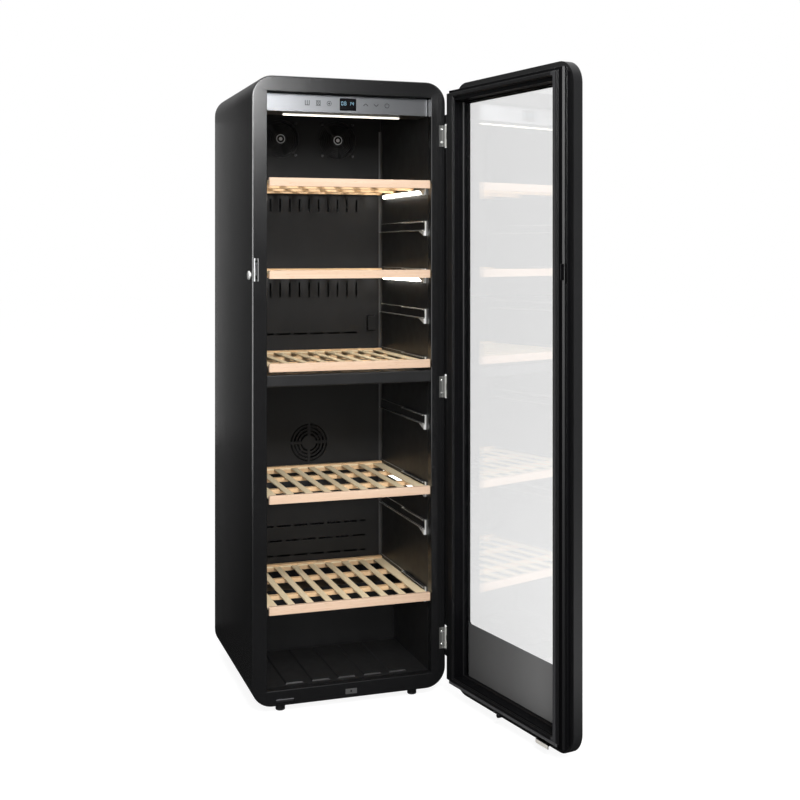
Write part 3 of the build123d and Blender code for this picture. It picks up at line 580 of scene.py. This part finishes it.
def screw(shape, at, normal, radius):
    """One head. Its sizes are shares of its radius, and its levels are shares of its height."""
    turn = Vector(normal).to_track_quat("Z", "Y").to_matrix().to_4x4()
    spot = Matrix.Translation(Vector(at)) @ turn
    height = radius * HEAD_HEIGHT
    rings = []
    for share, level in HEAD_PROFILE:
        ring = []
        for i in range(HEAD_STEPS):
            angle = 2 * pi * i / HEAD_STEPS
            point = Vector((radius * share * cos(angle), radius * share * sin(angle), height * level))
            ring.append(shape.verts.new(spot @ point))
        rings.append(ring)
    for low, high in zip(rings, rings[1:]):
        for i in range(HEAD_STEPS):
            j = (i + 1) % HEAD_STEPS
            shape.faces.new((low[i], low[j], high[j], high[i]))
    arm = radius * CROSS_ARM
    half = radius * CROSS_HALF
    cross = [(arm, -half), (arm, half), (half, half), (half, arm), (-half, arm), (-half, half)]
    cross += [(-x, -y) for x, y in cross]
    rim = [shape.verts.new(spot @ Vector((x, y, height))) for x, y in cross]
    sunk = [shape.verts.new(spot @ Vector((x, y, height * CROSS_FLOOR))) for x, y in cross]
    shape.faces.new(sunk)
    edges = []
    for i in range(len(cross)):
        j = (i + 1) % len(cross)
        shape.faces.new((rim[i], rim[j], sunk[j], sunk[i]))
        edges.append(shape.edges.get((rim[i], rim[j])))
    top = rings[-1]
    edges += [shape.edges.get((top[i], top[(i + 1) % HEAD_STEPS])) for i in range(HEAD_STEPS)]
    bmesh.ops.bridge_loops(shape, edges=edges)


def screws(name, places, normal, radius, look):
    """A group of screws on the cabinet."""
    shape = bmesh.new()
    for at in places:
        screw(shape, at, normal, radius)
    piece(name, shape, look, "cabinet")


HINGE_LEVELS = [BASE + z * MM for z in (148.5, 907.5, 1665.5)]
LEAF_THICKNESS = 2.2 * MM
LEAF_SCREW_X = 285 * MM
LEAF_SCREW_Z = 19 * MM
LEAF_SCREW_RADIUS = 4.2 * MM
leaf_places = [
    (LEAF_SCREW_X, FRONT - LEAF_THICKNESS, z + side * LEAF_SCREW_Z)
    for z in HINGE_LEVELS
    for side in (-1, 1)
]
screws("hinge_screws", leaf_places, TO_FRONT, LEAF_SCREW_RADIUS, zinc)

GUARD_Y = 488.5 * MM
FAN_X = 98 * MM
FAN_Z = BASE + 1688 * MM
LUG_CIRCLE = 74.2 * MM
LUG_ANGLES = [radians(45 + 90 * k) for k in range(4)]
LUG_SCREW_RADIUS = 3.2 * MM
lug_places = [
    (x + LUG_CIRCLE * cos(angle), FRONT + GUARD_Y, FAN_Z + LUG_CIRCLE * sin(angle))
    for x in (-FAN_X, FAN_X)
    for angle in LUG_ANGLES
]
screws("guard_screws", lug_places, TO_FRONT, LUG_SCREW_RADIUS, dull_steel_and_shade)

# Plain metal caps in the middle of the fan guards, each a disc in a raised ring
shape = bmesh.new()
for x in (-FAN_X, FAN_X):
    ring_plate(shape, x, FAN_Z, 6 * MM, 0.5 * MM, GUARD_Y - 0.4 * MM, GUARD_Y)
    ring_plate(shape, x, FAN_Z, 15 * MM, 12.5 * MM, GUARD_Y - 0.8 * MM, GUARD_Y)
piece("guard_caps", shape, fin_metal, "cabinet")

# Screws of the rear cover and the rear panel, placed in millimetres
SHEET_SCREW_RADIUS = 3.4 * MM
COVER_Y = 586.5 * MM
COVER_Z = BASE + 100 * MM
cover_sides = [(x, z) for x in (-241, 241) for z in (-62, 0, 62)]
cover_top = [(x, 91.6) for x in (-120, 120)]
cover_places = [(x * MM, FRONT + COVER_Y, COVER_Z + z * MM) for x, z in cover_sides + cover_top]
screws("cover_screws", cover_places, TO_BACK, SHEET_SCREW_RADIUS, zinc)

REAR_Y = 585 * MM
REAR_LEVELS = range(260, 1761, 300)
rear_places = [(x * MM, FRONT + REAR_Y, BASE + z * MM) for x in (-284, 284) for z in REAR_LEVELS]
screws("rear_panel_screws", rear_places, TO_BACK, SHEET_SCREW_RADIUS, zinc)


# Display digits: two numbers of two figures, each figure from the usual seven bars

CONTROL_Z = BASE + 1753.5 * MM
DISPLAY_Y = 33.6 * MM
FIGURE_DEPTH = 0.15 * MM
FIGURE_Z = CONTROL_Z + 3 * MM
FIGURE_WIDTH = 5.2 * MM
FIGURE_HEIGHT = 10.5 * MM
FIGURE_STROKE = 1.7 * MM
FIGURE_GAP = 0.4
FIGURE_PLACES = ((0, -17.5), (8, -8.5), (1, 5.5), (4, 14.5))
LIT_BARS = {0: "abcdef", 1: "bc", 4: "fgbc", 8: "abcdefg"}


def figure(shape, value, x):
    """One figure, each bar a flat hexagon."""
    w = FIGURE_WIDTH / 2
    h = FIGURE_HEIGHT / 2
    s = FIGURE_STROKE / 2
    ends = {
        "a": ((-w, h), (w, h)),
        "b": ((w, 0), (w, h)),
        "c": ((w, -h), (w, 0)),
        "d": ((-w, -h), (w, -h)),
        "e": ((-w, -h), (-w, 0)),
        "f": ((-w, 0), (-w, h)),
        "g": ((-w, 0), (w, 0)),
    }
    for letter in LIT_BARS[value]:
        start, end = (Vector(point) for point in ends[letter])
        along = (end - start).normalized()
        side = Vector((-along.y, along.x))
        start += along * s * FIGURE_GAP
        end -= along * s * FIGURE_GAP
        points = (
            start,
            start + (along + side) * s,
            end + (side - along) * s,
            end,
            end - (side + along) * s,
            start + (along - side) * s,
        )
        outline = [(x + point.x, FIGURE_Z + point.y) for point in points]
        plate(shape, outline, DISPLAY_Y - FIGURE_DEPTH, DISPLAY_Y)


shape = bmesh.new()
for value, x in FIGURE_PLACES:
    figure(shape, value, x * MM)
piece("display_digits", shape, digit_glow, "cabinet")


# Touch icons printed on the fascia: plain signs for lamp, zones, fan, up, down and standby

FASCIA_Y = 33 * MM
ICON_Z = CONTROL_Z + 1 * MM
PRINT = 0.12 * MM
STROKE = 2.1 * MM
THIN_STROKE = 0.8 * STROKE
RING_RADIUS = 7.4 * MM


def stroke(shape, x, z, width, height):
    """A printed bar."""
    bar(shape, x, z, width, height, FASCIA_Y - PRINT, FASCIA_Y)


def lamp_sign(shape, x):
    """Three uprights on a foot."""
    for across in (-6, 0, 6):
        stroke(shape, x + across * MM, ICON_Z + 1 * MM, STROKE, 13 * MM)
    stroke(shape, x, ICON_Z - 6.5 * MM, 13.7 * MM, STROKE)


def zones_sign(shape, x):
    """Two boxes side by side, between two lines."""
    for across in (-3.6, 3.6):
        for up in (-4, 4):
            stroke(shape, x + across * MM, ICON_Z + up * MM, 5 * MM, STROKE)
        for side in (-2, 2):
            stroke(shape, x + (across + side) * MM, ICON_Z, THIN_STROKE, 9 * MM)
    for up in (-7, 7):
        stroke(shape, x, ICON_Z + up * MM, 15 * MM, THIN_STROKE)


def fan_sign(shape, x):
    """A cross in a ring."""
    ring_plate(shape, x, ICON_Z, RING_RADIUS, 6 * MM, FASCIA_Y - PRINT, FASCIA_Y)
    stroke(shape, x, ICON_Z, 7 * MM, STROKE)
    stroke(shape, x, ICON_Z, STROKE, 7 * MM)


def arrow_sign(shape, x, up):
    """A chevron that points up where up is 1, and down where it is -1."""
    tip_z = ICON_Z + up * 4.5 * MM
    foot_z = ICON_Z - up * 3.5 * MM
    for side in (-1, 1):
        foot_x = x + side * 7 * MM
        outline = [
            (x, tip_z),
            (x, tip_z - up * 2.6 * MM),
            (foot_x, foot_z - up * 0.6 * MM),
            (foot_x, foot_z + up * STROKE),
        ]
        plate(shape, outline, FASCIA_Y - PRINT, FASCIA_Y)


def standby_sign(shape, x):
    """A ring open at the top, with a stroke in the gap."""
    gap_start = radians(120)
    turn = radians(300)
    ring_plate(shape, x, ICON_Z, RING_RADIUS, 5.8 * MM, FASCIA_Y - PRINT, FASCIA_Y, gap_start, turn)
    stroke(shape, x, ICON_Z + 5 * MM, STROKE, 6.5 * MM)


shape = bmesh.new()
lamp_sign(shape, -125 * MM)
zones_sign(shape, -91 * MM)
fan_sign(shape, -58 * MM)
arrow_sign(shape, 55 * MM, 1)
arrow_sign(shape, 88 * MM, -1)
standby_sign(shape, 122 * MM)
piece("touch_icons", shape, icon_print, "cabinet")


# Prints on the glass: a grey band at the foot, paler towards the door's free edge as a painted reflection,
# on the inner face but for its hinge end, and a black border between the panes

PANE_INSIDE = -48.78 * MM
SPACE_FRONT = -58.8 * MM
SPACE_BACK = -52.8 * MM
CLEAR_HALF = 253 * MM
CLEAR_BOTTOM = 70 * MM
CLEAR_TOP = 1790 * MM
CLEAR_HEIGHT = CLEAR_TOP - CLEAR_BOTTOM
BAND_TOP = 232 * MM
BAND_STEP = 18 * MM
BORDER = 8 * MM
INK = 0.2 * MM

shape = bmesh.new()
band_z = (CLEAR_BOTTOM + BAND_TOP) / 2
band_height = BAND_TOP - CLEAR_BOTTOM
main_width = 2 * CLEAR_HALF - BAND_STEP
bar(shape, -BAND_STEP / 2, band_z, main_width, band_height, PANE_INSIDE, PANE_INSIDE + INK)
bar(shape, CLEAR_HALF - BAND_STEP / 2, band_z, BAND_STEP, band_height, SPACE_FRONT, SPACE_FRONT + INK)
piece("glass_band", shape, glass_print, "door", door=True)

shape = bmesh.new()
middle_z = (CLEAR_BOTTOM + CLEAR_TOP) / 2
bar(shape, BORDER / 2 - CLEAR_HALF, middle_z, BORDER, CLEAR_HEIGHT, SPACE_BACK - INK, SPACE_BACK)
for side in (-1, 1):
    edge_z = middle_z + side * (CLEAR_HEIGHT - BORDER) / 2
    bar(shape, BORDER / 2, edge_z, 2 * CLEAR_HALF - BORDER, BORDER, SPACE_BACK - INK, SPACE_BACK)
piece("glass_border", shape, door_inside, "door", door=True)


# Camera, from the photograph's viewpoint. The focal length and the horizon are in the picture's pixels.

PICTURE_SIZE = 800
FOCAL_LENGTH = 1234.08
HORIZON_ROW = 250.69
SENSOR_WIDTH = 36
CAMERA_PLACE = (-1.0327, -3.7905, 1.3428)
CAMERA_TURN = radians(-18.73)

camera_data = bpy.data.cameras.new("camera")
camera = bpy.data.objects.new("camera", camera_data)
scene.collection.objects.link(camera)
scene.camera = camera
camera.location = CAMERA_PLACE
camera.rotation_euler = (radians(90), 0, CAMERA_TURN)
camera_data.sensor_width = SENSOR_WIDTH
camera_data.lens = FOCAL_LENGTH / PICTURE_SIZE * SENSOR_WIDTH
camera_data.shift_y = (HORIZON_ROW - PICTURE_SIZE / 2) / PICTURE_SIZE


# Floor, world and lights

def seen_rays(look):
    """1 for rays that show the background, else 0.

    They come from the camera, off a glossy surface or through glass, but not mirrored in glass.
    """
    rays = add_node(look, "ShaderNodeLightPath")
    direct = combine(look, "MAXIMUM", rays, "Is Camera Ray", rays, "Is Glossy Ray")
    seen = combine(look, "MAXIMUM", direct, 0, rays, "Is Transmission Ray")
    mirrored = combine(look, "MINIMUM", rays, "Glossy Depth", rays, "Is Singular Ray")
    rest = combine(look, "SUBTRACT", seen, 0, mirrored, 0)
    rest.use_clamp = True
    return rest


def mix_shaders(look, share, share_out, first, second):
    """A mix of two shaders, as what the material or the world shows."""
    mix = add_node(look, "ShaderNodeMixShader")
    link(look, share, share_out, mix, "Fac")
    link(look, first, 0, mix, 1)
    link(look, second, 0, mix, 2)
    nodes = look.node_tree.nodes
    output = nodes.get("Material Output") or nodes.get("World Output")
    link(look, mix, 0, output, "Surface")


def stage_board(name, corners):
    """A flat board that isn't part of the object."""
    mesh = bpy.data.meshes.new(name)
    mesh.from_pydata(corners, [], [tuple(range(len(corners)))])
    board = bpy.data.objects.new(name, mesh)
    scene.collection.objects.link(board)
    return board


def plain_floor(half):
    """A pale floor that is white to the eye, but for the object's shadow."""
    floor = stage_board("floor", [(-half, -half, 0), (half, -half, 0), (half, half, 0), (-half, half, 0)])
    look = principled("floor", (0.6, 0.6, 0.6), 0.9)
    shadow = add_node(look, "ShaderNodeBsdfDiffuse", Color=(0.25, 0.25, 0.25, 1))
    white = add_node(look, "ShaderNodeEmission", Color=(0.9, 0.9, 0.9, 1))
    bright = add_node(look, "ShaderNodeAddShader")
    link(look, shadow, 0, bright, 0)
    link(look, white, 0, bright, 1)
    mix_shaders(look, seen_rays(look), 0, shader_of(look), bright)
    floor.data.materials.append(look)


def white_world(level):
    """A white surround that lights the object at a lower level."""
    world = bpy.data.worlds.new("world")
    scene.world = world
    world.use_nodes = True
    dim = world.node_tree.nodes["Background"]
    dim.inputs["Color"].default_value = (1, 1, 1, 1)
    dim.inputs["Strength"].default_value = level
    white = add_node(world, "ShaderNodeBackground", Color=(1, 1, 1, 1), Strength=1.0)
    mix_shaders(world, seen_rays(world), 0, dim, white)


def area(name, at, target, size, power, mirrored=True):
    """A soft lamp that the camera and the glass don't show."""
    data = bpy.data.lights.new(name, "AREA")
    data.shape = "RECTANGLE"
    data.size, data.size_y = size
    data.energy = power
    light = bpy.data.objects.new(name, data)
    scene.collection.objects.link(light)
    light.location = at
    light.rotation_euler = (Vector(target) - Vector(at)).to_track_quat("-Z", "Y").to_euler()
    light.visible_camera = False
    light.visible_transmission = False
    light.visible_glossy = mirrored


def upright(left, right, foot, top):
    """Corners of a standing rectangle, from X and Y of its two sides and the levels of its foot and top."""
    return [(*left, foot), (*right, foot), (*right, top), (*left, top)]


def card(name, corners, low, high, strength=1.0):
    """A studio card, graded from its foot to its top, that shows only in soft reflections, not in glass."""
    board = stage_board(name, corners)
    board.visible_camera = False
    board.visible_diffuse = False
    board.visible_transmission = False
    board.visible_shadow = False
    look = bpy.data.materials.new(name)
    look.use_nodes = True
    look.node_tree.nodes.remove(shader_of(look))
    glowing = add_node(look, "ShaderNodeEmission", Strength=strength)
    grade = ramp(look, box_share(look), "Z", greys((0.0, low), (1.0, high)))
    link(look, grade, "Color", glowing, "Color")
    rays = add_node(look, "ShaderNodeLightPath")
    clear = add_node(look, "ShaderNodeBsdfTransparent")
    mix_shaders(look, rays, "Is Singular Ray", glowing, clear)
    board.data.materials.append(look)


plain_floor(half=30)
white_world(level=0.4)

# Dark cards: below, behind to the left in three steps, behind the top, and in front
BEHIND = 0.6
ABOVE_FLOOR = 0.004
floor_corners = [(x, y, ABOVE_FLOOR) for x, y in ((-4, -5), (0.75, -5), (0.75, 5), (-4, 5))]
card("floor_card", floor_corners, low=0.02, high=0.02)
for name, left, right, low, high in (
    ("left_card_far", -4, -0.45, 0.005, 0.05),
    ("left_card_middle", -0.45, -0.39, 0.03, 0.2),
    ("left_card_near", -0.39, -0.338, 0.06, 0.35),
):
    card(name, upright((left, BEHIND), (right, BEHIND), 0, 2.4), low, high)
top_corners = upright((-0.338, BEHIND), (0.4, BEHIND), 1.8, 3.2)
card("top_card", top_corners, low=0.3, high=0.3)
front_corners = [(-0.2, -2.65, 0), (3, -2.0, 0), (3, -2.0, 5.2), (0.5, -2.508, 3.2), (-0.2, -2.65, 1.4)]
card("front_card", front_corners, low=0.02, high=0.04)

# Bright cards: for the frame's left side, and for its upper left corner and the fascia
strip_corners = upright((-1.9, -2.85), (-1.35, -3.35), 0.05, 2.7)
card("strip_card", strip_corners, low=0.1, high=1.0, strength=25.0)
bright_corners = upright((-0.35, -2.55), (0.05, -2.55), 2.0, 2.6)
card("corner_card", bright_corners, low=1.0, high=1.0, strength=88.0)

area("key", (-0.35, -4.3, 3.4), target=(0, -0.3, 0.9), size=(1.6, 1.2), power=205, mirrored=False)
area("fill", (1.8, -4.0, 1.1), target=(0, -0.3, 0.7), size=(1.6, 1.6), power=52, mirrored=False)
area("top", (-0.4, -0.4, 3.8), target=(0, -0.1, 1.0), size=(1.6, 1.6), power=35)
